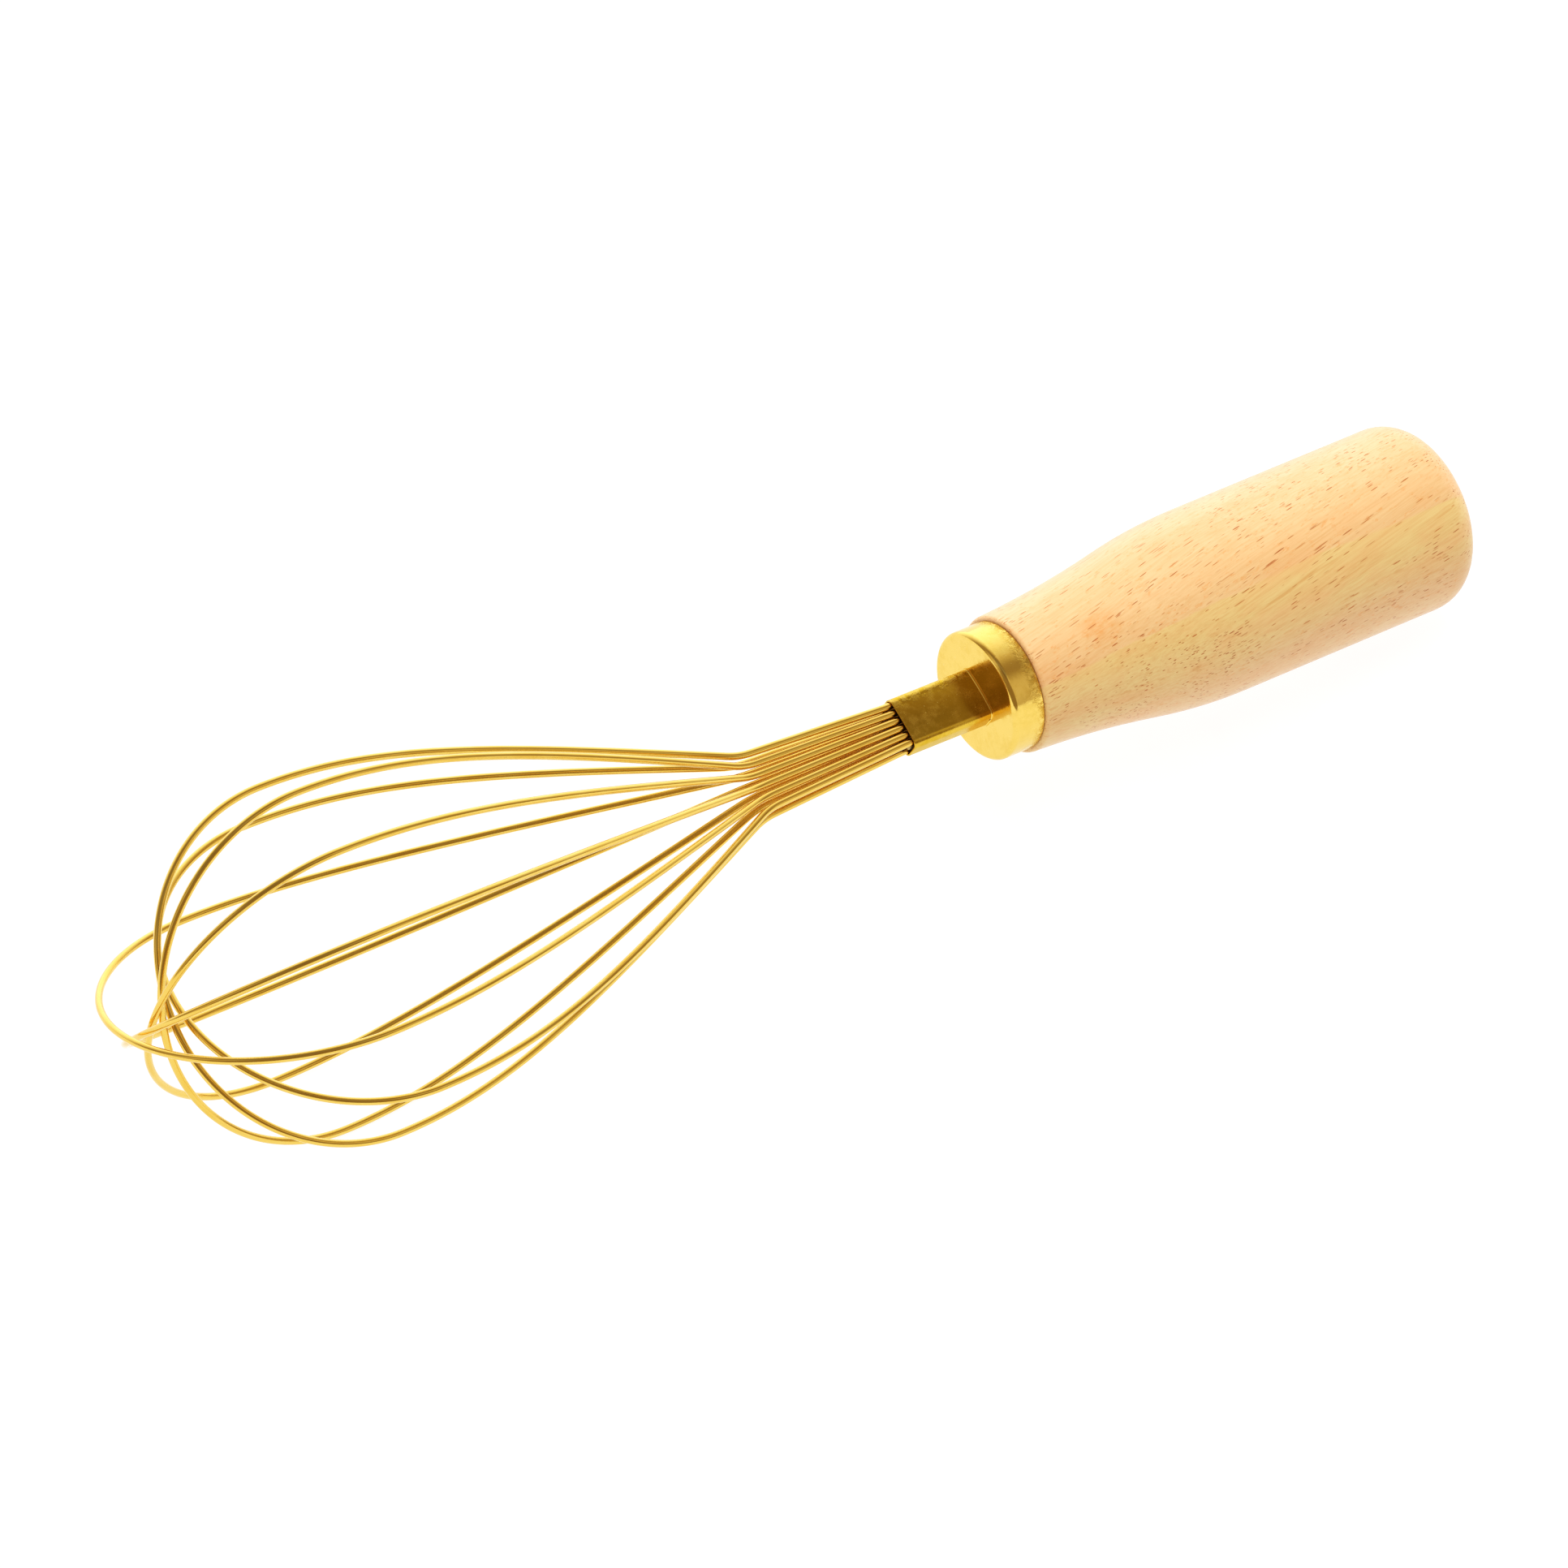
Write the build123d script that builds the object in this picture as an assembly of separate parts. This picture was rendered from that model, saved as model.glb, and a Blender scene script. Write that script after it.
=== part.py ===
"""Balloon whisk with a turned wooden handle: eleven solids in one frame, millimetres.

Frame: the origin is the centre of the flat butt face of the handle, +X runs along the
whisk towards the tip of the balloon, and +Z is up as the whisk lies on a table.
"""
from build123d import *
import math
import os

os.makedirs("parts", exist_ok=True)

# ---- stations along X ----
shoulder_x = 90.2        # where the bare wood ends and the cap begins
cap_face_x = 96.3        # outer face of the cap
mouth_x = 112.3          # open end of the sleeve
flare_x = 142.2          # where the flat bundle opens into the balloon
balloon_tip_x = 265.4    # centreline of the outermost loop on the axis

# ---- handle ----
belly_d = 33.0           # widest part, fills the hand
butt_round = 6.5         # rounding between the belly and the flat butt
neck_d = 24.5            # wood next to the cap
neck_round = 0.7
belly_run = 43.0         # distance from the shoulder to the start of the straight belly
slope_max = 10.1         # steepest slope of the bottle shape, degrees
convex_r = 99.0          # radius of the upper curve of the bottle shape
tenon_gap = 0.05         # radial clearance of the tenon in the cap
tenon_short = 0.3        # between the end of the tenon and the inside of the cap
tenon_chamfer = 0.4
bore_d = 11.4            # blind hole that takes the wire tails
bore_depth = 33.0
drill_point = 118.0      # angle of the drill tip, degrees

# ---- cap ----
cap_d = 22.9
cap_wall = 0.7
cap_edge_r = 0.9
cap_inner_edge_r = 0.5
cap_seat_gap = 0.1       # between the rim of the cap and the wooden shoulder
slot_gap = 0.04          # all round the sleeve

# ---- sleeve ----
sleeve_w = 9.6
sleeve_t = 4.9
sleeve_wall = 0.3
sleeve_corner_r = 1.3
sleeve_tail_x = 86.0     # inner end, inside the handle
roll = 30.0              # turn of the sleeve about X when the whisk lies at rest, degrees

# ---- wires ----
wire_d = 1.3
wires_per_row = 6
wire_pitch = 1.44        # spacing along a row
row_pitch = 2.7          # spacing of the two rows
row_stagger = 0.12       # shift of each row along itself, the two rows opposite ways
tail_x = 70.0            # ends of the wires inside the handle
mouth_bend_out = 1.0     # the wires turn outwards about this far past the mouth
mouth_bend_r = 25.0
flare_bend_r = 13.0
fan = 1.42               # how much each row has widened at the flare
row_spread = 1.29        # how much the two rows have parted there
balloon_r = 31.3         # crown radius and widest reach of the outermost loop
rise_back = 44.0         # the flank leaves the flare aiming at a point this far short of
rise_share = 0.72        # the widest reach and at this share of the crown radius
leave = 40.7             # how strongly the flank keeps its direction at the flare
arrive = 23.1            # and where it joins the crown
nest_step = 2.2          # each loop is this much shorter than the one outside it
nest_narrow = 0.25       # and its crown has a radius smaller by this
# columns of the front row in nesting order, outermost loop first
nest_order = (4, 3, 2, 1, 0, 5)

# ---- fillings ----
fit_gap = 0.02           # hairline clearance around the fillings
solder_x = (102.0, 111.3)
resin_back_x = 66.0
resin_short = 0.6        # between the front of the resin and the inside of the cap
resin_solder_gap = 0.1   # between the two fillings, inside the sleeve

cut_past = 1.0           # cutting shapes run this far past what they cut


def at(x, y=0.0, z=0.0):
    """A point given along the whisk, across the sleeve and through the sleeve."""
    a = math.radians(roll)
    return Vector(x, y * math.cos(a) + z * math.sin(a), z * math.cos(a) - y * math.sin(a))


def section_plane(x):
    """Plane across the whisk with its first direction along the sleeve's width."""
    return Plane(origin=at(x), x_dir=at(0, 1, 0), z_dir=(1, 0, 0))


def turned(points_face):
    """Solid of revolution about X."""
    return revolve(points_face, Axis.X)


def block(x0, x1, width, thick, corner):
    """Rounded bar between two stations, square to the sleeve."""
    face = section_plane(x0) * RectangleRounded(width, thick, corner)
    return extrude(face, x1 - x0, dir=(1, 0, 0))


def rod(x0, x1, radius, y=0.0, z=0.0):
    """Round bar along X, centred on a wire position."""
    face = Plane(origin=at(x0, y, z), z_dir=(1, 0, 0)) * Circle(radius)
    return extrude(face, x1 - x0, dir=(1, 0, 0))


def arc_point(centre, radius, angle):
    """Point on a circle in the X-radius plane; the angle is measured from +X."""
    a = math.radians(angle)
    return (centre[0] + radius * math.cos(a), centre[1] + radius * math.sin(a))


def make_handle():
    """Bottle-shaped handle with a tenon for the cap and a blind bore for the wires."""
    belly_r = belly_d / 2
    belly_end_x = shoulder_x - belly_run
    convex_c = (belly_end_x, belly_r - convex_r)
    inflection = arc_point(convex_c, convex_r, 90 - slope_max)
    convex_mid = arc_point(convex_c, convex_r, 90 - slope_max / 2)
    neck = (shoulder_x - neck_round, neck_d / 2)
    neck_c = (neck[0], neck[1] - neck_round)
    steep = math.radians(slope_max)
    tangent = (math.cos(steep), -math.sin(steep))
    round_c = (butt_round, belly_r - butt_round)
    tenon_r = cap_d / 2 - cap_wall - tenon_gap
    tenon_x = cap_face_x - cap_wall - tenon_short
    bore_r = bore_d / 2
    bore_x = tenon_x - bore_depth
    cone = bore_r / math.tan(math.radians(drill_point / 2))
    outline = [
        Line((bore_x - cone, 0), (0, 0)),
        Line((0, 0), (0, belly_r - butt_round)),
        ThreePointArc((0, round_c[1]), arc_point(round_c, butt_round, 135), (butt_round, belly_r)),
        Line((butt_round, belly_r), (belly_end_x, belly_r)),
        ThreePointArc((belly_end_x, belly_r), convex_mid, inflection),
        TangentArc(inflection, neck, tangent=tangent),
        ThreePointArc(neck, arc_point(neck_c, neck_round, 45), (shoulder_x, neck_c[1])),
        Line((shoulder_x, neck_c[1]), (shoulder_x, tenon_r)),
        Line((shoulder_x, tenon_r), (tenon_x - tenon_chamfer, tenon_r)),
        Line((tenon_x - tenon_chamfer, tenon_r), (tenon_x, tenon_r - tenon_chamfer)),
        Line((tenon_x, tenon_r - tenon_chamfer), (tenon_x, bore_r)),
        Line((tenon_x, bore_r), (bore_x, bore_r)),
        Line((bore_x, bore_r), (bore_x - cone, 0)),
    ]
    return turned(make_face(outline))


def make_cap():
    """Drawn metal cup over the tenon, slotted for the sleeve."""
    outer_r = cap_d / 2
    inner_r = outer_r - cap_wall
    rim_x = shoulder_x + cap_seat_gap
    inside_x = cap_face_x - cap_wall
    oc = (cap_face_x - cap_edge_r, outer_r - cap_edge_r)
    ic = (inside_x - cap_inner_edge_r, inner_r - cap_inner_edge_r)
    outline = [
        Line((rim_x, inner_r), (rim_x, outer_r)),
        Line((rim_x, outer_r), (oc[0], outer_r)),
        ThreePointArc((oc[0], outer_r), arc_point(oc, cap_edge_r, 45), (cap_face_x, oc[1])),
        Line((cap_face_x, oc[1]), (cap_face_x, 0)),
        Line((cap_face_x, 0), (inside_x, 0)),
        Line((inside_x, 0), (inside_x, ic[1])),
        ThreePointArc((inside_x, ic[1]), arc_point(ic, cap_inner_edge_r, 45), (ic[0], inner_r)),
        Line((ic[0], inner_r), (rim_x, inner_r)),
    ]
    cup = turned(make_face(outline))
    slot = block(inside_x - cut_past, cap_face_x + cut_past, sleeve_w + 2 * slot_gap,
                 sleeve_t + 2 * slot_gap, sleeve_corner_r + slot_gap)
    return cup - slot


def make_sleeve():
    """Flattened tube that holds the two rows of wires."""
    outer = block(sleeve_tail_x, mouth_x, sleeve_w, sleeve_t, sleeve_corner_r)
    inner = block(sleeve_tail_x - cut_past, mouth_x + cut_past, sleeve_w - 2 * sleeve_wall,
                  sleeve_t - 2 * sleeve_wall, sleeve_corner_r - sleeve_wall)
    return outer - inner


def leg_y(column, side=1):
    """Position of a leg across the sleeve; side is 1 for the front row, -1 for the back."""
    return (column - (wires_per_row - 1) / 2) * wire_pitch - side * row_stagger


def blend(before, corner, after, radius):
    """Start, middle and end of the arc that rounds a corner between two straights."""
    a = (before - corner).normalized()
    b = (after - corner).normalized()
    half = math.acos(max(-1.0, min(1.0, a.dot(b)))) / 2
    back = radius / math.tan(half)
    out = (a + b).normalized()
    centre = corner + out * (radius / math.sin(half))
    return corner + a * back, centre - out * radius, corner + b * back


def half_loop(column, tip_x, crown_r):
    """Edges of one half of a loop, from the tail in the handle to the tip on the axis."""
    azimuth = math.radians(180 - 180 / wires_per_row * (column + 0.5))

    def on(x, r):
        return at(x, r * math.cos(azimuth), r * math.sin(azimuth))

    wide_x = tip_x - crown_r
    y = leg_y(column)
    z = row_pitch / 2
    tail = at(tail_x, y, z)
    mouth = at(mouth_x + mouth_bend_out, y, z)
    flare = at(flare_x, y * fan, z * row_spread)
    rise = on(wide_x - rise_back, crown_r * rise_share)
    wide = on(wide_x, crown_r)
    outward = (rise - flare).normalized()
    m0, m1, m2 = blend(tail, mouth, flare, mouth_bend_r)
    f0, f1, f2 = blend(mouth, flare, rise, flare_bend_r)
    return [
        Line(tail, m0),
        ThreePointArc(m0, m1, m2),
        Line(m2, f0),
        ThreePointArc(f0, f1, f2),
        Bezier(f2, f2 + outward * leave, wide - Vector(arrive, 0, 0), wide),
        ThreePointArc(wide, on(*arc_point((wide_x, 0), crown_r, 45)), on(tip_x, 0)),
    ]


def make_loop(column, tip_x, crown_r):
    """One wire: tail, leg, balloon and back; the second half is the first turned over."""
    half = half_loop(column, tip_x, crown_r)
    path = Wire(half + [edge.rotate(Axis.X, 180) for edge in half])
    start = at(tail_x, leg_y(column), row_pitch / 2)
    return sweep(Plane(origin=start, z_dir=(1, 0, 0)) * Circle(wire_d / 2), path=path)


def leg_holes(x0, x1):
    """Clearance holes for all the straight legs."""
    radius = wire_d / 2 + fit_gap
    return [
        rod(x0, x1, radius, leg_y(column, side), side * row_pitch / 2)
        for column in range(wires_per_row)
        for side in (1, -1)
    ]


def make_solder():
    """Braze that locks the wires together inside the mouth of the sleeve."""
    start, end = solder_x
    inset = 2 * (sleeve_wall + fit_gap)
    body = block(start, end, sleeve_w - inset, sleeve_t - inset, sleeve_corner_r - sleeve_wall)
    for hole in leg_holes(start - cut_past, end + cut_past):
        body -= hole
    return max(body.solids(), key=lambda s: s.volume)


def make_resin():
    """Cast filling of the bore, around the wire tails and the buried end of the sleeve."""
    front_x = cap_face_x - cap_wall - resin_short
    sleeve_fill_x = solder_x[0] - resin_solder_gap
    inset = 2 * (sleeve_wall + fit_gap)
    body = rod(resin_back_x, front_x, bore_d / 2 - fit_gap)
    body -= block(sleeve_tail_x - fit_gap, front_x + cut_past, sleeve_w + 2 * fit_gap,
                  sleeve_t + 2 * fit_gap, sleeve_corner_r + fit_gap)
    body += block(sleeve_tail_x - cut_past, sleeve_fill_x, sleeve_w - inset,
                  sleeve_t - inset, sleeve_corner_r - sleeve_wall)
    for hole in leg_holes(tail_x - fit_gap, sleeve_fill_x + cut_past):
        body -= hole
    return body


pieces = {
    "handle": make_handle(),
    "cap": make_cap(),
    "sleeve": make_sleeve(),
    "solder_fill": make_solder(),
    "resin_plug": make_resin(),
}
for place, column in enumerate(nest_order):
    tip = balloon_tip_x - nest_step * place
    pieces[f"wire_loop_{place + 1}"] = make_loop(column, tip, balloon_r - nest_narrow * place)

for name, piece in pieces.items():
    export_step(piece, f"parts/{name}.step")
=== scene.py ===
"""Looks of the balloon whisk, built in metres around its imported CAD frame.

The row frame has +X along the whisk from the butt of the handle to the tip of the
balloon, and +Z up as the whisk lies. The table it lies on slopes a little in this
frame, because the balloon is wider than the handle.
"""
import math
import random

import bmesh
import bpy
import numpy as np
from mathutils import Matrix, Vector


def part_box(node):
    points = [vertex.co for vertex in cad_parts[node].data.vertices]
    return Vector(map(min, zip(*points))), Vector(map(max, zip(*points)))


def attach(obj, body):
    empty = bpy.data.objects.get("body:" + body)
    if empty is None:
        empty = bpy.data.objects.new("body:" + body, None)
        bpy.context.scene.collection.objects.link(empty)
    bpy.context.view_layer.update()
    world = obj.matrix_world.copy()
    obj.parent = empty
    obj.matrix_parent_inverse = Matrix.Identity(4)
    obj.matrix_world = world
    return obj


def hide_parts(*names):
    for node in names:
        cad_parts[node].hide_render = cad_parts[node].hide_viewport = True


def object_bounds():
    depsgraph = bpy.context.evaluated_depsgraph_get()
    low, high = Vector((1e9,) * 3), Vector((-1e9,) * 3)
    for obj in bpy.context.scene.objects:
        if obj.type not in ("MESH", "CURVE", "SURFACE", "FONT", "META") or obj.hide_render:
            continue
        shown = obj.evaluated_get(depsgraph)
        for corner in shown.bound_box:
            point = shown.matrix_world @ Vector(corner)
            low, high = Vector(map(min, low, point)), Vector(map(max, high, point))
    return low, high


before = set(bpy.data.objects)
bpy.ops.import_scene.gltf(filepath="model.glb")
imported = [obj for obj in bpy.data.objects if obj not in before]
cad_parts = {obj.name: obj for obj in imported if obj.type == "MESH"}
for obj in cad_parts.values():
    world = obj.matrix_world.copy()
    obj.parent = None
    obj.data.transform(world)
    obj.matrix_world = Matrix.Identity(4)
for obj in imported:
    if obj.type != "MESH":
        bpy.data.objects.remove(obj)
cad_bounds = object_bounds()
MM = 0.001

# ---- driving dimensions, in millimetres as in the CAD ----
WIRE_R = 0.65
WIRES_PER_ROW = 6
WIRE_PITCH = 1.44
ROW_PITCH = 2.7
ROW_STAGGER = 0.12
ROLL = math.radians(30.0)
FLARE_X = 142.2
FAN = 1.42
ROW_SPREAD = 1.29
RISE_BACK = 44.0
RISE_SHARE = 0.72
LEAVE = 40.7
ARRIVE = 23.1
MOUTH_BEND_OUT = 1.0                # the wires turn outwards this far past the mouth
MOUTH_BEND_R = 25.0
FLARE_BEND_R = 13.0
NEST_ORDER = (4, 3, 2, 1, 0, 5)
# most that a loop may differ from the drawn one, either way; seeded draws pick how much
WIDTH_PLAY = 0.4
LENGTH_PLAY = 0.3
TURN_PLAY = 0.7          # degrees, as are the next two
SWAY_PLAY = 0.25
LEAN_PLAY = 0.25
PLAY_SEED = 100
SWAY_FROM_X = FLARE_X - 6           # sway and lean grow with the distance past this station
SWAY_EASE = (FLARE_X - 17, 20.0)    # and set in softly over this stretch: its start and length
RIPPLE_RUN = 30.0                   # the ripple grows over this distance past the flare
BALLOON_BEND = (-0.020, -0.0063)    # drift of the whole balloon in Y and Z per unit of X
SLEEVE_LIFT = Vector((0, -0.11, 0.17))   # the mouth of the sleeve is this much off true
WIRE_SIDES = 24
WIRE_STEP = 0.9
WIRE_STEP_MIN = 0.05
WIRE_WANDER = 0.08                  # size of the slow ripple in each wire

CAMERA_AZIMUTH = 52.6
CAMERA_ELEVATION = 37.9
CAMERA_ROLL = 2.45
CAMERA_DISTANCE = 2.684
CAMERA_LENS = 367.5
CAMERA_AIM = Vector((0.12748, -0.01092, -0.01216))
ROOM_AZIMUTH = 55.0                 # direction of the camera's side of the room
CEILING_SHADE = 0.45                # share of its light that the ceiling loses on that side
CEILING_EDGE = (0.72, 0.84)         # upward part of a direction between which the shade sets in
ROOM_EDGE = (-0.1, 0.2)             # and its part towards the camera's side, likewise
LIGHT_DISTANCE = 1.3
# brightness of the room from the side away from the camera to the camera's side
ROOM_STOPS = ((0.0, 1.5), (0.08, 1.38), (0.15, 1.18), (0.235, 0.98), (0.33, 0.76), (0.435, 0.44),
              (0.525, 0.42), (0.61, 0.68), (0.69, 0.73), (0.79, 0.38), (1.0, 0.36))
TONE_CURVE = ((0.1, 0.05), (0.35, 0.285), (0.65, 0.63))

SLEEVE_WALL = 0.3
SLEEVE_CORNER = 1.3
SLEEVE_LIP = 0.1
SLEEVE_SIZE = (9.6, 4.9)
SLEEVE_PILLOW = 0.2                 # the flat sides bulge by this much
SEAM_R = 0.18
SEAM_OUT = 0.03                     # its centre line stands this far off the sleeve
BRAZE_LUMP = ((112.0, 3.75, 0.15), (0.8, 0.5, 0.75))   # its centre and half sizes
BRAZE_WAVES = ((2, 0.12), (3, 0.08))                   # waves round it and their heights


def turned(x, y, z):
    """A point given along the whisk, across the sleeve and through the sleeve."""
    return Vector((x, y * math.cos(ROLL) + z * math.sin(ROLL),
                   z * math.cos(ROLL) - y * math.sin(ROLL)))


def box_mm(node):
    """A CAD node's lowest and highest corners, in millimetres."""
    low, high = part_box(node)
    return low / MM, high / MM


CAP_FACE_X = box_mm("cap")[1].x
MOUTH_X = box_mm("sleeve")[1].x


# ---------------------------------------------------------------- meshes
def add_mesh(name, vertices, faces):
    """New object from millimetre vertices, with its normals turned outwards."""
    mesh = bpy.data.meshes.new(name)
    mesh.from_pydata([Vector(v) * MM for v in vertices], [], faces)
    bm = bmesh.new()
    bm.from_mesh(mesh)
    bmesh.ops.recalc_face_normals(bm, faces=bm.faces)
    bm.to_mesh(mesh)
    bm.free()
    mesh.polygons.foreach_set("use_smooth", [True] * len(mesh.polygons))
    mesh.update()
    obj = bpy.data.objects.new(name, mesh)
    bpy.context.scene.collection.objects.link(obj)
    return obj


def loft(rings, closed=False):
    """Vertices and faces that join equal rings; open ends get a fan."""
    count = len(rings[0])
    vertices = [v for ring in rings for v in ring]
    faces = []
    spans = len(rings) if closed else len(rings) - 1
    for i in range(spans):
        a = i * count
        b = (i + 1) % len(rings) * count
        for j in range(count):
            k = (j + 1) % count
            faces.append((a + j, a + k, b + k, b + j))
    if not closed:
        for start, ring in ((0, rings[0]), ((len(rings) - 1) * count, rings[-1])):
            vertices.append(sum(ring, Vector()) / count)
            hub = len(vertices) - 1
            faces += [(start + j, start + (j + 1) % count, hub) for j in range(count)]
    return vertices, faces


def arc2(centre, radius, first, last, count):
    """Points of an arc in the X-radius plane, angles in degrees from +X."""
    return [(centre[0] + radius * math.cos(math.radians(a)),
             centre[1] + radius * math.sin(math.radians(a)))
            for a in np.linspace(first, last, count)]


# ---------------------------------------------------------------- wire loops
def blend(before, corner, after, radius):
    """Points of the arc that rounds a corner between two straight runs."""
    a = (before - corner).normalized()
    b = (after - corner).normalized()
    half = a.angle(b) / 2
    centre = corner + (a + b).normalized() * (radius / math.sin(half))
    start = corner + a * (radius / math.tan(half))
    end = corner + b * (radius / math.tan(half))
    count = max(6, int(radius * (math.pi - 2 * half) / WIRE_STEP) + 2)
    return [centre + (start - centre).slerp(end - centre, t, None) * radius
            for t in np.linspace(0, 1, count)]


def run(start, end):
    """Points along a straight run, without its ends."""
    count = max(2, int((end - start).length / WIRE_STEP))
    return [start.lerp(end, i / count) for i in range(1, count)]


def bezier(p0, p1, p2, p3):
    """Points of a cubic curve."""
    count = int((p3 - p0).length / WIRE_STEP)
    points = []
    for t in np.linspace(0, 1, count):
        u = 1 - t
        points.append(p0 * u ** 3 + p1 * 3 * u * u * t + p2 * 3 * u * t * t + p3 * t ** 3)
    return points


def half_loop(column, turn, tail_x, tip_x, crown_r):
    """Centreline of half a loop, from its tail in the handle to its tip on the axis."""
    azimuth = math.pi - math.pi / WIRES_PER_ROW * (column + 0.5) + math.radians(turn)

    def on(x, r):
        return turned(x, r * math.cos(azimuth), r * math.sin(azimuth))

    wide_x = tip_x - crown_r
    y = (column - (WIRES_PER_ROW - 1) / 2) * WIRE_PITCH - ROW_STAGGER
    z = ROW_PITCH / 2
    tail = turned(tail_x, y, z)
    mouth = turned(MOUTH_X + MOUTH_BEND_OUT, y, z)
    flare = turned(FLARE_X, y * FAN, z * ROW_SPREAD)
    rise = on(wide_x - RISE_BACK, crown_r * RISE_SHARE)
    wide = on(wide_x, crown_r)
    outward = (rise - flare).normalized()
    first = blend(tail, mouth, flare, MOUTH_BEND_R)
    second = blend(mouth, flare, rise, FLARE_BEND_R)
    flank = bezier(second[-1], second[-1] + outward * LEAVE, wide - Vector((ARRIVE, 0, 0)), wide)
    crown = [on(*p) for p in arc2((wide_x, 0), crown_r, 90, 0, 60)]
    points = [tail] + run(tail, first[0]) + first + run(first[-1], second[0]) + second
    return points + flank[1:] + crown[1:]


def ease(t):
    """Smooth step from 0 to 1."""
    t = min(1.0, max(0.0, t))
    return t * t * (3 - 2 * t)


def lift(x):
    """How far the sleeve and what it holds lie off true at a station along the whisk."""
    return SLEEVE_LIFT * min(1.0, max(0.0, (x - CAP_FACE_X) / (MOUTH_X - CAP_FACE_X)))


def settle(points, column, sway, lean, seed):
    """Bends a drawn loop a little out of true; nothing moves inside the sleeve."""
    azimuth = math.pi - math.pi / WIRES_PER_ROW * (column + 0.5)
    across = turned(0, math.cos(azimuth), math.sin(azimuth))
    through = Vector((1, 0, 0)).cross(across)
    bend = Vector((0, *BALLOON_BEND))
    rng = random.Random(seed)
    waves = [(rng.uniform(0.4, 1.0), rng.uniform(0, 2 * math.pi), n) for n in (2, 3, 5)]
    out = []
    for i, p in enumerate(points):
        past_flare = max(0.0, p.x - SWAY_FROM_X) * ease((p.x - SWAY_EASE[0]) / SWAY_EASE[1])
        t = i / (len(points) - 1)
        ripple = sum(w / n * math.sin(2 * math.pi * n * t + ph) for w, ph, n in waves)
        ripple *= WIRE_WANDER * ease((p.x - FLARE_X) / RIPPLE_RUN)
        out.append(p + lift(p.x) + bend * max(0.0, p.x - MOUTH_X)
                   + across * past_flare * math.radians(sway)
                   + through * (past_flare * math.radians(lean) + ripple))
    return out


def tube(name, points, radius, sides):
    """Round wire along points, with flat-capped ends and a coordinate that follows the wire."""
    pts = [Vector(points[0])]
    for p in points[1:]:
        if (p - pts[-1]).length > WIRE_STEP_MIN:
            pts.append(Vector(p))
    tangents = []
    for i in range(len(pts)):
        a = pts[max(0, i - 1)]
        b = pts[min(len(pts) - 1, i + 1)]
        tangents.append((b - a).normalized())
    normal = tangents[0].orthogonal().normalized()
    rings = []
    along = []
    length = 0.0
    for i, p in enumerate(pts):
        if i:
            normal.rotate(tangents[i - 1].rotation_difference(tangents[i]))
            length += (p - pts[i - 1]).length
        normal = (normal - tangents[i] * normal.dot(tangents[i])).normalized()
        other = tangents[i].cross(normal)
        ring = [p + (normal * math.cos(a) + other * math.sin(a)) * radius
                for a in (2 * math.pi * j / sides for j in range(sides))]
        rings.append(ring)
        along.append(length)
    vertices, faces = loft(rings)
    obj = add_mesh(name, vertices, faces)
    coord = obj.data.attributes.new("along_wire", "FLOAT_VECTOR", "POINT")
    values = []
    for s in along:
        for j in range(sides):
            a = 2 * math.pi * j / sides
            values += [s * MM, radius * math.cos(a) * MM, radius * math.sin(a) * MM]
    values += [along[0] * MM, 0, 0, along[-1] * MM, 0, 0]
    coord.data.foreach_set("vector", values)
    return obj


def make_wires():
    """Six nested loops, sized by their CAD nodes."""
    wires = []
    for place, column in enumerate(NEST_ORDER):
        node = f"wire_loop_{place + 1}"
        low, high = box_mm(node)
        rng = random.Random(PLAY_SEED + place)
        wider, longer, turn, sway, lean = (
            rng.uniform(-play, play)
            for play in (WIDTH_PLAY, LENGTH_PLAY, TURN_PLAY, SWAY_PLAY, LEAN_PLAY))
        crown_r = math.hypot(high.y - WIRE_R, high.z - WIRE_R) + wider
        front = half_loop(column, turn, low.x, high.x - WIRE_R + longer, crown_r)
        points = front + [Vector((p.x, -p.y, -p.z)) for p in reversed(front[:-1])]
        points = settle(points, column, sway, lean, place)
        wire = tube(f"wire_{place + 1}", points, WIRE_R, WIRE_SIDES)
        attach(wire, "root")
        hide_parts(node)
        wires.append(wire)
    return wires


# ---------------------------------------------------------------- sleeve
def sleeve_section(inset, per_corner=14, per_side=8):
    """Rounded rectangle with softly bulging sides, inset from the outer surface."""
    half_w = SLEEVE_SIZE[0] / 2
    half_t = SLEEVE_SIZE[1] / 2
    section = []
    for turn, (sy, sz) in enumerate(((1, 1), (-1, 1), (-1, -1), (1, -1))):
        for a in np.linspace(90 * turn, 90 * (turn + 1), per_corner):
            r = SLEEVE_CORNER - inset
            section.append((sy * (half_w - SLEEVE_CORNER) + r * math.cos(math.radians(a)),
                            sz * (half_t - SLEEVE_CORNER) + r * math.sin(math.radians(a))))
        if turn in (0, 2):
            last = section[-1]
            for t in np.linspace(0, 1, per_side + 2)[1:-1]:
                bulge = SLEEVE_PILLOW * 4 * t * (1 - t)
                section.append((last[0] * (1 - 2 * t), last[1] + sz * bulge))
    return section


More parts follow.
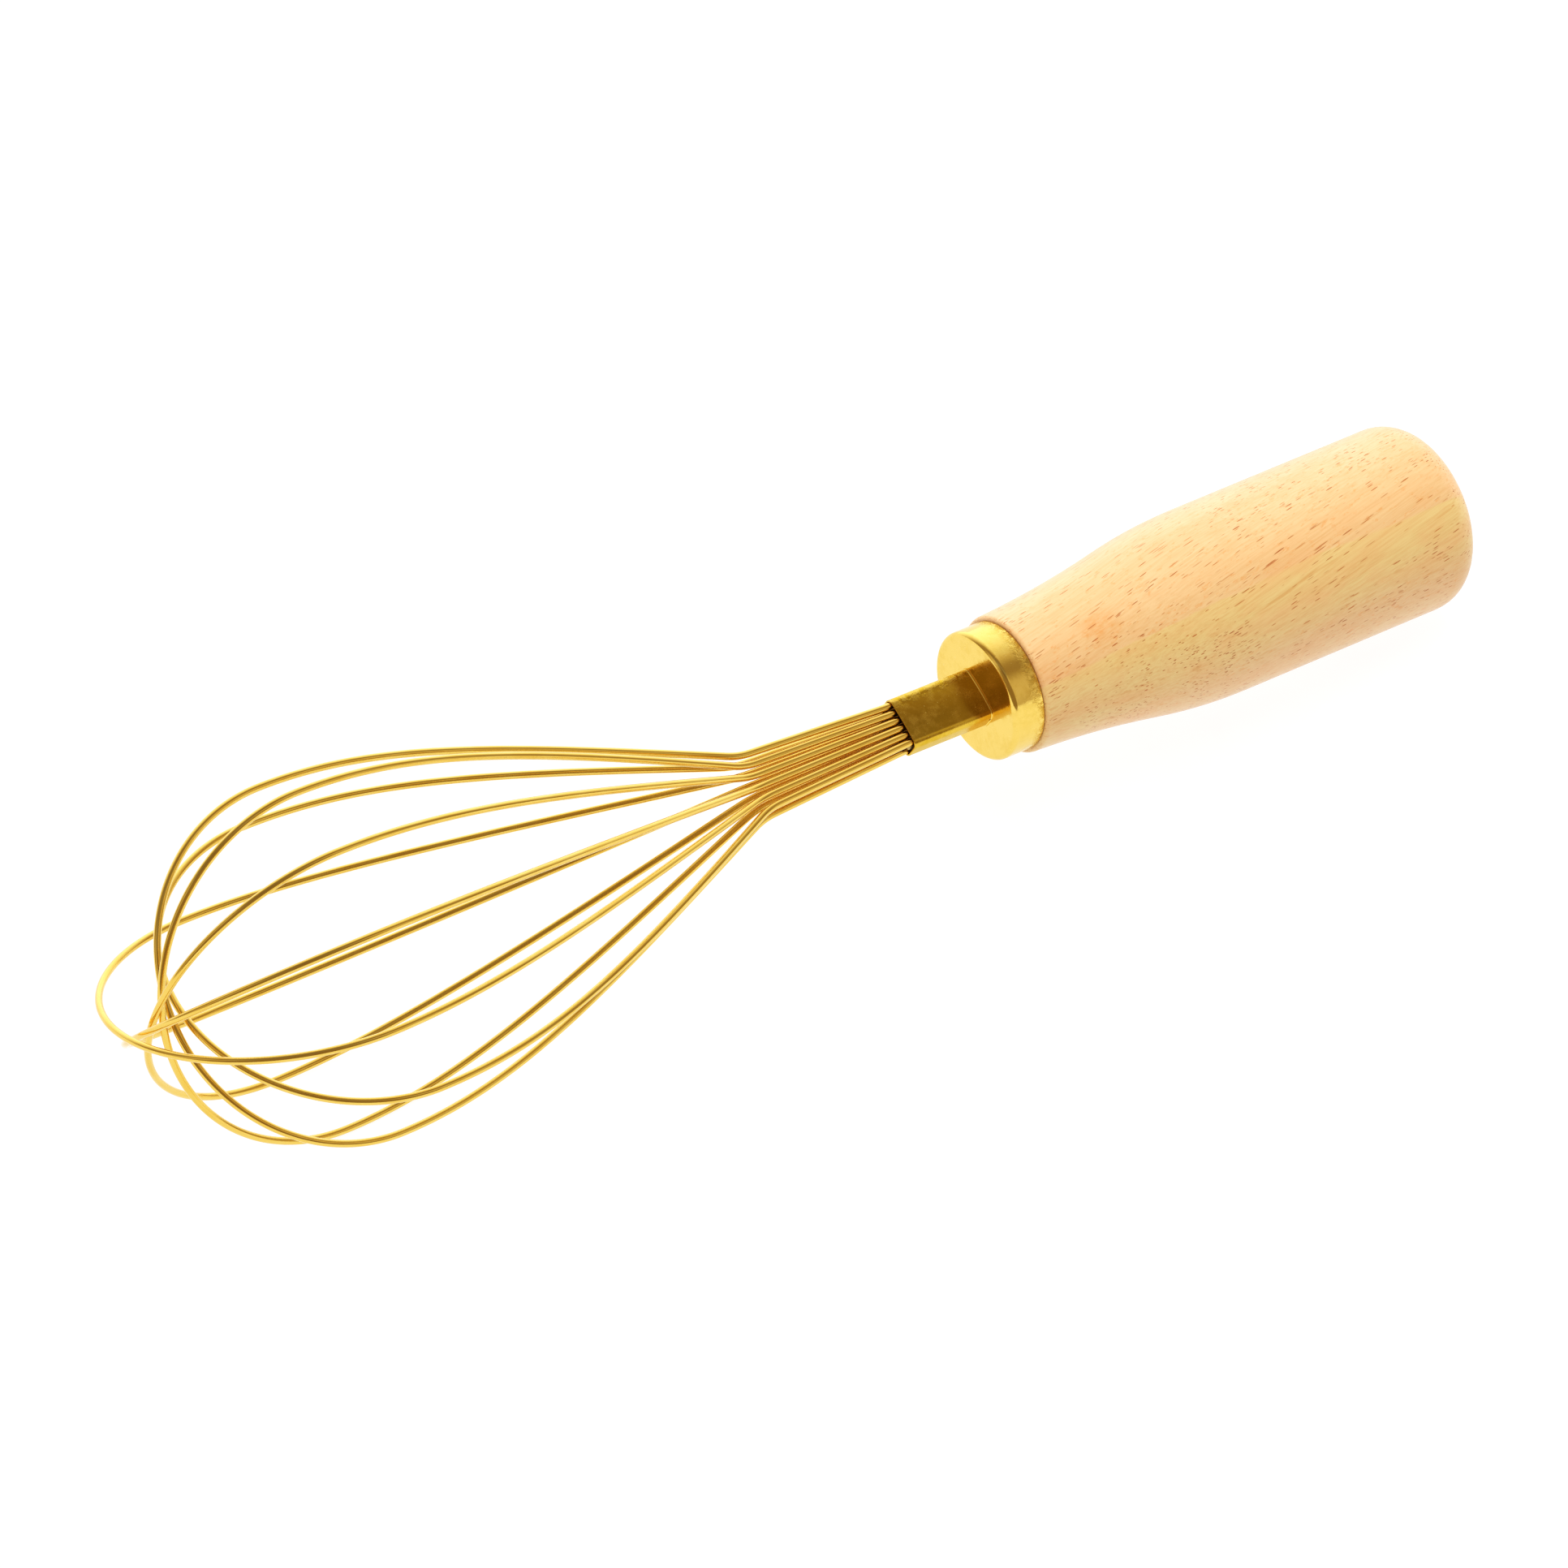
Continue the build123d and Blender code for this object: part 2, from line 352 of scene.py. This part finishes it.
def make_sleeve():
    """Thin flattened tube, open at both ends, with a rounded mouth edge."""
    low, high = box_mm("sleeve")
    edge = SLEEVE_WALL / 2
    stops = [(low.x, 0.0), (CAP_FACE_X, 0.0), (high.x - SLEEVE_LIP, 0.0)]
    stops += [(high.x - SLEEVE_LIP + SLEEVE_LIP * math.sin(a), edge * (1 - math.cos(a)))
              for a in np.linspace(0, math.pi / 2, 5)[1:]]
    stops += [(high.x - SLEEVE_LIP + SLEEVE_LIP * math.cos(a), edge * (1 + math.sin(a)))
              for a in np.linspace(0, math.pi / 2, 5)[1:]]
    stops += [(CAP_FACE_X, SLEEVE_WALL), (low.x, SLEEVE_WALL)]
    rings = []
    for x, inset in stops:
        rings.append([turned(x, y, z) + lift(x) for y, z in sleeve_section(inset)])
    vertices, faces = loft(rings, closed=True)
    sleeve = add_mesh("flat_sleeve", vertices, faces)
    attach(sleeve, "root")
    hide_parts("sleeve")
    return sleeve


def make_seam():
    """Thin bead of solder where the sleeve leaves the cap."""
    outline = sleeve_section(-SEAM_OUT)
    x = CAP_FACE_X + SEAM_R / 2
    bead = tube("sleeve_seam", [turned(x, y, z) for y, z in outline + outline[:1]], SEAM_R, 8)
    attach(bead, "root")
    return bead


def make_braze_lump():
    """Pale lump of braze that sits between the two rows at one corner of the mouth."""
    (x, y, z), sizes = BRAZE_LUMP
    rng = random.Random(5)
    phases = [rng.uniform(0, 2 * math.pi) for _ in BRAZE_WAVES]
    rings = []
    for lat in np.linspace(-80, 80, 9):
        ring = []
        for lon in np.linspace(0, 2 * math.pi, 17)[:-1]:
            u = math.radians(lat)
            rough = 1 + sum(height * math.sin(count * lon + phase)
                            for (count, height), phase in zip(BRAZE_WAVES, phases))
            p = (sizes[0] * math.sin(u), sizes[1] * math.cos(u) * math.cos(lon) * rough,
                 sizes[2] * math.cos(u) * math.sin(lon) * rough)
            ring.append(turned(x + p[0], y + p[1], z + p[2]) + lift(x))
        rings.append(ring)
    lump = add_mesh("braze_lump", *loft(rings))
    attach(lump, "root")
    return lump


# ---------------------------------------------------------------- materials
class Nodes:
    """Small helper that adds shader nodes and joins them."""

    def __init__(self, name):
        self.material = bpy.data.materials.new(name)
        self.material.use_nodes = True
        self.tree = self.material.node_tree
        self.shader = self.tree.nodes["Principled BSDF"]

    def add(self, kind, values=None, **inputs):
        node = self.tree.nodes.new(kind)
        for key, value in (values or {}).items():
            setattr(node, key, value)
        for key, value in inputs.items():
            socket = node.inputs[int(key[1:])] if key[0] == "i" and key[1:].isdigit() \
                else node.inputs[key]
            self.put(socket, value)
        return node

    def put(self, socket, value):
        if isinstance(value, bpy.types.NodeSocket):
            self.tree.links.new(value, socket)
        else:
            socket.default_value = value

    def math(self, operation, a, b=0.0, c=0.0, clamp=False):
        node = self.add("ShaderNodeMath", {"operation": operation, "use_clamp": clamp},
                        i0=a, i1=b, i2=c)
        return node.outputs[0]

    def mapping(self, vector, scale=(1, 1, 1), rotation=(0, 0, 0)):
        node = self.add("ShaderNodeMapping", Vector=vector, Scale=scale, Rotation=rotation)
        return node.outputs[0]

    def noise(self, vector, scale, detail=3.0, roughness=0.5):
        node = self.add("ShaderNodeTexNoise", Vector=vector, Scale=scale, Detail=detail,
                        Roughness=roughness)
        return node.outputs[0]

    def ramp(self, fac, stops):
        node = self.add("ShaderNodeValToRGB", Fac=fac)
        elements = node.color_ramp.elements
        while len(elements) < len(stops):
            elements.new(0.5)
        for element, (position, colour) in zip(elements, stops):
            element.position = position
            element.color = colour if len(colour) == 4 else (*colour, 1)
        return node.outputs[0]

    def mix(self, fac, a, b):
        node = self.tree.nodes.new("ShaderNodeMix")
        node.data_type = "RGBA"
        self.put(node.inputs["Factor"], fac)
        self.put(node.inputs[6], a)
        self.put(node.inputs[7], b)
        return node.outputs[2]

    def bump(self, height, strength, distance):
        node = self.add("ShaderNodeBump", Height=height, Strength=strength, Distance=distance)
        return node.outputs[0]

    def set(self, **inputs):
        for key, value in inputs.items():
            self.put(self.shader.inputs[key.replace("_", " ")], value)


def srgb(r, g, b):
    """Linear colour from 0-255 display values."""
    def one(c):
        c /= 255
        return c / 12.92 if c <= 0.04045 else ((c + 0.055) / 1.055) ** 2.4
    return (one(r), one(g), one(b), 1.0)


# plating, in linear values: its usual tone, then its tone where it is clouded or worn. The
# sleeve's usual tone is painted darker than the cap's, as painted shade, and its worn tone is
# painted lighter, as a painted sheen on its real scuffs
WIRE_TONE = (0.90, 0.66, 0.20, 1)
WIRE_CLOUD = (0.86, 0.59, 0.14, 1)
CAP_TONE = (0.92, 0.68, 0.22, 1)
CAP_WORN = (0.84, 0.58, 0.14, 1)
SLEEVE_SHADED_TONE = (0.72, 0.49, 0.06, 1)
SLEEVE_WORN_SHEEN = (0.95, 0.70, 0.20, 1)
SPECK = (0.98, 0.80, 0.38, 1)
# wood
PEACH = srgb(243, 208, 165)
YELLOW = srgb(241, 214, 160)
WARM = srgb(243, 191, 143)
TAN = srgb(222, 168, 108)
FLECK = srgb(236, 164, 98)
PORE = srgb(208, 118, 56)
PORE_DARK = srgb(176, 88, 34)
NECK_STAIN = (76.0, 7.4, 11.8)      # an orange mark on the hollow of the neck
GRAIN_TURN = math.radians(-8)       # the grain runs this much off the axis of the handle


def wire_plating():
    """Gold-tone wire: fine marks of drawing along it, slow changes of tone."""
    n = Nodes("gold_wire")
    place = n.add("ShaderNodeAttribute", {"attribute_name": "along_wire"}).outputs["Vector"]
    streaks = n.noise(n.mapping(place, scale=(90, 7000, 7000)), 1.0, detail=3.0)
    cloud = n.noise(n.mapping(place, scale=(160, 900, 900)), 1.0, detail=3.0)
    shade = n.mix(n.ramp(cloud, [(0.35, (0, 0, 0)), (0.7, (1, 1, 1))]), WIRE_TONE, WIRE_CLOUD)
    rough = n.math("MULTIPLY_ADD", streaks, 0.12, 0.08)
    height = n.math("MULTIPLY_ADD", streaks, 0.6, n.math("MULTIPLY", cloud, 0.5))
    n.set(Base_Color=shade, Metallic=1.0, Roughness=rough,
          Normal=n.bump(height, 0.1, 0.00004), Coat_Weight=0.5, Coat_Roughness=0.05)
    return n.material


def sheet_plating(name, tone, worn_and_sheen, roughness, across, worn_from, worn_to):
    """Gold-tone sheet: clouded in places, with sparse bright specks and one scuffed edge.

    The scuffing fades between two distances, in millimetres, along a direction. A worn colour
    lighter than the plating, as on the sleeve, is a painted sheen on the scuffs.
    """
    n = Nodes(name)
    place = n.add("ShaderNodeTexCoord").outputs["Object"]
    wave = n.noise(place, 240.0, detail=2.0)
    cloud = n.noise(place, 900.0, detail=5.0, roughness=0.65)
    grit = n.noise(place, 4200.0, detail=3.0)
    specks = n.ramp(n.noise(place, 2600.0, detail=1.0), [(0.74, (0, 0, 0)), (0.79, (1, 1, 1))])
    clouded = n.ramp(n.math("MULTIPLY", wave, cloud), [(0.22, (0, 0, 0)), (0.36, (1, 1, 1))])
    depth = n.add("ShaderNodeVectorMath", {"operation": "DOT_PRODUCT"}, i0=place, i1=across)
    near = n.add("ShaderNodeMapRange", Value=depth.outputs["Value"], i1=worn_from * MM,
                 i2=worn_to * MM, i3=1.0, i4=0.0)
    scuff = n.ramp(cloud, [(0.44, (0, 0, 0)), (0.56, (1, 1, 1))])
    scuff = n.math("MULTIPLY", near.outputs[0], scuff)
    clouded = n.math("MAXIMUM", n.math("MULTIPLY", clouded, 0.4), scuff)
    # on the sleeve the plain tone is painted shade and the worn one is a painted sheen
    shade = n.mix(clouded, tone, worn_and_sheen)
    shade = n.mix(n.math("MULTIPLY", specks, 0.7), shade, SPECK)
    rough = n.math("MULTIPLY_ADD", clouded, 0.24, roughness)
    rough = n.math("MULTIPLY_ADD", specks, 0.2, rough)
    pitted = n.math("MULTIPLY_ADD", scuff, 3.0, n.math("MULTIPLY", clouded, 0.8))
    height = n.math("MULTIPLY_ADD", grit, pitted, n.math("MULTIPLY", wave, 0.5))
    n.set(Base_Color=shade, Metallic=1.0, Roughness=rough,
          Normal=n.bump(height, 0.4, 0.00006))
    return n.material


def dull_metal():
    """Braze: pale yellowish metal with a grainy, uneven skin."""
    n = Nodes("braze")
    place = n.add("ShaderNodeTexCoord").outputs["Object"]
    grain = n.noise(place, 1500.0, detail=4.0)
    n.set(Base_Color=n.ramp(grain, [(0.35, srgb(176, 150, 92)), (0.65, srgb(222, 206, 160))]),
          Metallic=0.8, Roughness=n.math("MULTIPLY_ADD", grain, 0.2, 0.35),
          Normal=n.bump(grain, 0.4, 0.0001))
    return n.material


def cast_resin():
    """Hidden filling: yellowish resin with small bubbles and slow clouds."""
    n = Nodes("resin")
    place = n.add("ShaderNodeTexCoord").outputs["Object"]
    cloud = n.noise(place, 300.0, detail=3.0)
    bubbles = n.noise(place, 1800.0, detail=1.0)
    n.set(Base_Color=n.ramp(cloud, [(0.3, srgb(206, 192, 146)), (0.7, srgb(226, 214, 172))]),
          Roughness=n.math("MULTIPLY_ADD", bubbles, 0.3, 0.3),
          Normal=n.bump(bubbles, 0.3, 0.0001))
    return n.material


def dress(obj, material):
    """Gives an object one material and no other."""
    obj.data.materials.clear()
    obj.data.materials.append(material)


wire_gold = wire_plating()
cap_gold = sheet_plating("gold_cap", CAP_TONE, CAP_WORN, 0.10, (1, 0, 0), 90.8, 92.8)
# the sleeve is the same plating painted darker, as painted shade, with lighter scuffs as a
# painted sheen
sleeve_gold = sheet_plating("gold_sleeve", SLEEVE_SHADED_TONE, SLEEVE_WORN_SHEEN, 0.19,
                            turned(0, 1, 0), -4.4, -2.4)
braze = dull_metal()
WIRES = make_wires()
for wire in WIRES:
    dress(wire, wire_gold)
dress(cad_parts["cap"], cap_gold)
dress(make_sleeve(), sleeve_gold)
dress(make_seam(), cap_gold)
dress(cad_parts["solder_fill"], braze)
dress(make_braze_lump(), braze)
dress(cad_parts["resin_plug"], cast_resin())


def stain(n, place, centre, reach):
    """Mask that fades with the distance from a point of the surface."""
    away = n.add("ShaderNodeVectorMath", {"operation": "DISTANCE"}, i0=place, i1=centre)
    fade = n.add("ShaderNodeMapRange", {"interpolation_type": "SMOOTHSTEP"},
                 Value=away.outputs["Value"], i1=0.0, i2=reach, i3=1.0, i4=0.0)
    return fade.outputs[0]


def pores(n, grained, crowd, scale, reach, share):
    """Thin ellipsoids along the grain; each cell has one or none, more where it is crowded."""
    cells = n.add("ShaderNodeTexVoronoi", {"feature": "F1"},
                  Vector=n.mapping(grained, scale=scale), Scale=1.0, Randomness=1.0)
    draw = n.add("ShaderNodeSeparateColor", Color=cells.outputs["Color"]).outputs
    keep = n.math("SUBTRACT", n.math("MULTIPLY", crowd, share), draw[0])
    size = n.math("MULTIPLY_ADD", draw[1], 0.5 * reach, 0.55 * reach)
    size = n.math("MULTIPLY", size, n.math("MULTIPLY", keep, 8.0, clamp=True))
    inside = n.math("SUBTRACT", size, cells.outputs["Distance"])
    depth = n.math("MULTIPLY_ADD", draw[2], 0.6, 0.4)
    return n.math("MULTIPLY", n.math("MULTIPLY", inside, 5.0 / reach, clamp=True), depth)


def growth_layer(n, place):
    """Mask of the one yellower layer: sharp and frayed on one side, fading on the other."""
    axes = n.add("ShaderNodeSeparateXYZ", Vector=place).outputs
    # depth through the layers, and the slow drift of their edge along the handle
    depth = n.math("MULTIPLY", n.math("SUBTRACT", axes[2], axes[1]), 0.707)
    drift = n.math("MULTIPLY_ADD", n.noise(n.mapping(place, scale=(0.02, 0.05, 0.05)), 1.0), 3.0,
                   -1.5)
    frayed = n.noise(n.mapping(place, scale=(0.12, 1.2, 1.2)), 1.0, detail=3.0)
    sink = n.math("MULTIPLY", n.math("MAXIMUM", n.math("SUBTRACT", axes[0], 28.0), 0.0), 0.045)
    layer = n.math("ADD", n.math("ADD", depth, drift), sink)
    layer = n.math("ADD", layer, n.math("MULTIPLY", frayed, 0.9))
    edge = n.add("ShaderNodeMapRange", Value=layer, i1=0.15, i2=0.6)
    soft = n.add("ShaderNodeMapRange", {"interpolation_type": "SMOOTHSTEP"}, Value=layer,
                 i1=-13.0, i2=-6.5)
    return n.math("MULTIPLY", n.math("SUBTRACT", 1.0, edge.outputs[0]), soft.outputs[0])


def lacquered_wood():
    """Pale close-grained wood: peach with one yellower growth layer, short brown pores."""
    n = Nodes("wood")
    place = n.mapping(n.add("ShaderNodeTexCoord").outputs["Object"], scale=(1000, 1000, 1000))
    band = growth_layer(n, place)
    # long grain, turned a little off the axis of the handle
    grained = n.mapping(place, rotation=(0, GRAIN_TURN, GRAIN_TURN))
    fibres = n.noise(n.mapping(grained, scale=(0.06, 2.8, 2.8)), 1.0, detail=5.0, roughness=0.65)
    broad = n.noise(n.mapping(grained, scale=(0.025, 0.22, 0.22)), 1.0, detail=4.0)
    blotch = n.noise(n.mapping(place, scale=(0.14, 0.22, 0.22)), 1.0, detail=4.0)
    flecks = n.noise(n.mapping(grained, scale=(0.5, 1.3, 1.3)), 1.0, detail=4.0, roughness=0.7)
    crowd = n.ramp(n.noise(n.mapping(grained, scale=(0.06, 0.3, 0.3)), 1.0, detail=2.0),
                   [(0.36, (0.12, 0.12, 0.12)), (0.64, (1, 1, 1))])
    knot = n.math("MULTIPLY", stain(n, place, NECK_STAIN, 5.0), 0.7)
    colour = n.mix(band, PEACH, YELLOW)
    colour = n.mix(n.ramp(broad, [(0.42, (0, 0, 0)), (0.68, (0.42, 0.42, 0.42))]), colour, WARM)
    colour = n.mix(n.ramp(blotch, [(0.5, (0, 0, 0)), (0.72, (0.35, 0.35, 0.35))]), colour, WARM)
    colour = n.mix(n.ramp(fibres, [(0.42, (0, 0, 0)), (0.72, (0.4, 0.4, 0.4))]), colour, TAN)
    speckled = n.math("MULTIPLY", n.ramp(flecks, [(0.56, (0, 0, 0)), (0.7, (0.5, 0.5, 0.5))]),
                      n.math("SUBTRACT", 1.0, n.math("MULTIPLY", band, 0.8)))
    colour = n.mix(speckled, colour, FLECK)
    colour = n.mix(n.math("MULTIPLY", knot, n.ramp(flecks, [(0.3, (0, 0, 0)), (0.6, (1, 1, 1))])),
                   colour, FLECK)
    # brown lines where the grain of the yellow layer surfaces
    veins = n.noise(n.mapping(grained, scale=(0.018, 1.1, 1.1)), 1.0, detail=3.0, roughness=0.6)
    veins = n.ramp(veins, [(0.60, (0, 0, 0)), (0.68, (0.45, 0.45, 0.45))])
    colour = n.mix(n.math("MULTIPLY", veins, n.math("MULTIPLY_ADD", band, 0.6, 0.3)), colour, TAN)
    short = pores(n, grained, crowd, (0.2, 2.9, 2.9), 0.29, 1.0)
    long = pores(n, grained, crowd, (0.1, 2.2, 2.2), 0.24, 0.75)
    pore = n.math("MAXIMUM", short, long)
    colour = n.mix(n.math("MULTIPLY", pore, 0.85), colour, n.mix(crowd, PORE, PORE_DARK))
    height = n.math("SUBTRACT", n.math("MULTIPLY", fibres, 0.15), pore)
    n.set(Base_Color=colour, Roughness=n.math("MULTIPLY_ADD", fibres, 0.12, 0.36),
          Normal=n.bump(height, 0.3, 0.00005), Coat_Weight=0.35, Coat_Roughness=0.16)
    n.shader.inputs["Specular IOR Level"].default_value = 0.35
    return n.material


dress(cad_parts["handle"], lacquered_wood())


# ---------------------------------------------------------------- stage
def points_of(objects):
    return np.concatenate([np.array([v.co for v in obj.data.vertices]) for obj in objects])


def table_tilt(handle, wires):
    """Slope of the table that touches both the handle and the balloon, and its height."""
    def lowest(points, angle):
        return (points[:, 0] * math.sin(angle) + points[:, 2] * math.cos(angle)).min()

    low, high = 0.0, math.radians(15)
    for _ in range(40):
        middle = (low + high) / 2
        if lowest(wires, middle) < lowest(handle, middle):
            low = middle
        else:
            high = middle
    return low, lowest(wires, low)


TILT, TABLE_HEIGHT = table_tilt(points_of([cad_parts["handle"]]), points_of(WIRES))
# columns: along the table under the whisk, across it, and straight up from it
TABLE = Matrix(((math.cos(TILT), 0, math.sin(TILT)),
                (0, 1, 0),
                (-math.sin(TILT), 0, math.cos(TILT))))


def over_table(azimuth, elevation):
    """Direction seen from the table, angles in degrees."""
    a = math.radians(azimuth)
    e = math.radians(elevation)
    return TABLE @ Vector((math.cos(e) * math.cos(a), math.cos(e) * math.sin(a), math.sin(e)))


def aim(obj, location, target, up):
    """Places an object that looks along its -Z, with its +Y towards up."""
    back = (location - target).normalized()
    right = up.cross(back).normalized()
    obj.matrix_world = Matrix.Translation(location) @ Matrix(
        (right, back.cross(right), back)).transposed().to_4x4()


CENTRE = (Vector(cad_bounds[0]) + Vector(cad_bounds[1])) / 2
UP = TABLE @ Vector((0, 0, 1))


def make_floor():
    size = 6.0
    corners = [(-size, -size), (size, -size), (size, size), (-size, size)]
    mesh = bpy.data.meshes.new("floor")
    mesh.from_pydata([TABLE @ Vector((x, y, 0)) + UP * TABLE_HEIGHT for x, y in corners], [],
                     [(0, 1, 2, 3)])
    floor = bpy.data.objects.new("floor", mesh)
    bpy.context.scene.collection.objects.link(floor)
    n = Nodes("floor")
    grain = n.noise(n.add("ShaderNodeTexCoord").outputs["Object"], 90.0, detail=4.0)
    n.set(Base_Color=n.ramp(grain, [(0.3, (0.09, 0.09, 0.09)), (0.7, (0.11, 0.11, 0.11))]),
          Roughness=0.7, Emission_Color=(1, 1, 1, 1), Emission_Strength=0.93)
    n.shader.inputs["Specular IOR Level"].default_value = 0.2
    dress(floor, n.material)


def softbox(name, azimuth, elevation, size, watts):
    """Square light aimed at the object; it lights, but isn't mirrored in the metal."""
    light = bpy.data.lights.new(name, "AREA")
    light.size = size
    light.energy = watts
    obj = bpy.data.objects.new(name, light)
    obj.visible_glossy = False
    bpy.context.scene.collection.objects.link(obj)
    aim(obj, CENTRE + over_table(azimuth, elevation) * LIGHT_DISTANCE, CENTRE, UP)


def make_world():
    """White sweep behind the object, dim room above it and on the camera's side."""
    world = bpy.data.worlds.new("studio")
    bpy.context.scene.world = world
    world.use_nodes = True
    tree = world.node_tree
    background = tree.nodes["Background"]
    coord = tree.nodes.new("ShaderNodeTexCoord")
    facing = tree.nodes.new("ShaderNodeVectorMath")
    facing.operation = "DOT_PRODUCT"
    facing.inputs[1].default_value = over_table(ROOM_AZIMUTH, 0)
    place = tree.nodes.new("ShaderNodeMath")
    place.operation = "MULTIPLY_ADD"
    place.inputs[1].default_value = 0.5
    place.inputs[2].default_value = 0.5
    ramp = tree.nodes.new("ShaderNodeValToRGB")
    ramp.color_ramp.interpolation = "LINEAR"
    elements = ramp.color_ramp.elements
    while len(elements) < len(ROOM_STOPS):
        elements.new(0.5)
    for element, (position, value) in zip(elements, ROOM_STOPS):
        element.position = position
        warmth = max(0.0, 1.0 - value)
        element.color = (value, value * (1 - 0.32 * warmth), value * (1 - 0.85 * warmth), 1)
    tree.links.new(coord.outputs["Generated"], facing.inputs[0])
    tree.links.new(facing.outputs["Value"], place.inputs[0])
    tree.links.new(place.outputs[0], ramp.inputs[0])
    tree.links.new(ramp.outputs[0], background.inputs["Color"])
    # the ceiling is darker over the camera's side
    height = tree.nodes.new("ShaderNodeVectorMath")
    height.operation = "DOT_PRODUCT"
    height.inputs[1].default_value = UP
    tree.links.new(coord.outputs["Generated"], height.inputs[0])
    shares = []
    for value, (start, end) in ((height, CEILING_EDGE), (facing, ROOM_EDGE)):
        share = tree.nodes.new("ShaderNodeMapRange")
        share.inputs["From Min"].default_value = start
        share.inputs["From Max"].default_value = end
        tree.links.new(value.outputs["Value"], share.inputs["Value"])
        shares.append(share.outputs[0])
    both = tree.nodes.new("ShaderNodeMath")
    both.operation = "MULTIPLY"
    tree.links.new(shares[0], both.inputs[0])
    tree.links.new(shares[1], both.inputs[1])
    strength = tree.nodes.new("ShaderNodeMath")
    strength.operation = "MULTIPLY_ADD"
    tree.links.new(both.outputs[0], strength.inputs[0])
    strength.inputs[1].default_value = -CEILING_SHADE
    strength.inputs[2].default_value = 1.0
    tree.links.new(strength.outputs[0], background.inputs["Strength"])


def set_tones():
    """A little more contrast in the darks, as a bright studio exposure has."""
    view = bpy.context.scene.view_settings
    view.view_transform = "Standard"
    view.use_curve_mapping = True
    curve = view.curve_mapping.curves[3]
    for place, value in TONE_CURVE:
        curve.points.new(place, value)
    view.curve_mapping.update()


def make_camera():
    data = bpy.data.cameras.new("camera")
    data.sensor_width = 36.0
    data.lens = CAMERA_LENS
    data.clip_end = 50
    camera = bpy.data.objects.new("camera", data)
    bpy.context.scene.collection.objects.link(camera)
    azimuth = math.radians(CAMERA_AZIMUTH)
    elevation = math.radians(CAMERA_ELEVATION)
    back = Vector((math.cos(elevation) * math.cos(azimuth),
                   math.cos(elevation) * math.sin(azimuth), math.sin(elevation)))
    up = Vector((0, 0, 1))
    up.rotate(Matrix.Rotation(math.radians(CAMERA_ROLL), 3, back))
    aim(camera, CAMERA_AIM + back * CAMERA_DISTANCE, CAMERA_AIM, up)
    bpy.context.scene.camera = camera


make_floor()
make_world()
softbox("top", ROOM_AZIMUTH + 90, 80, 0.9, 10.2)
softbox("back", ROOM_AZIMUTH + 175, 60, 0.9, 2.5)
softbox("end", ROOM_AZIMUTH - 55, 20, 0.6, 3)
make_camera()
set_tones()
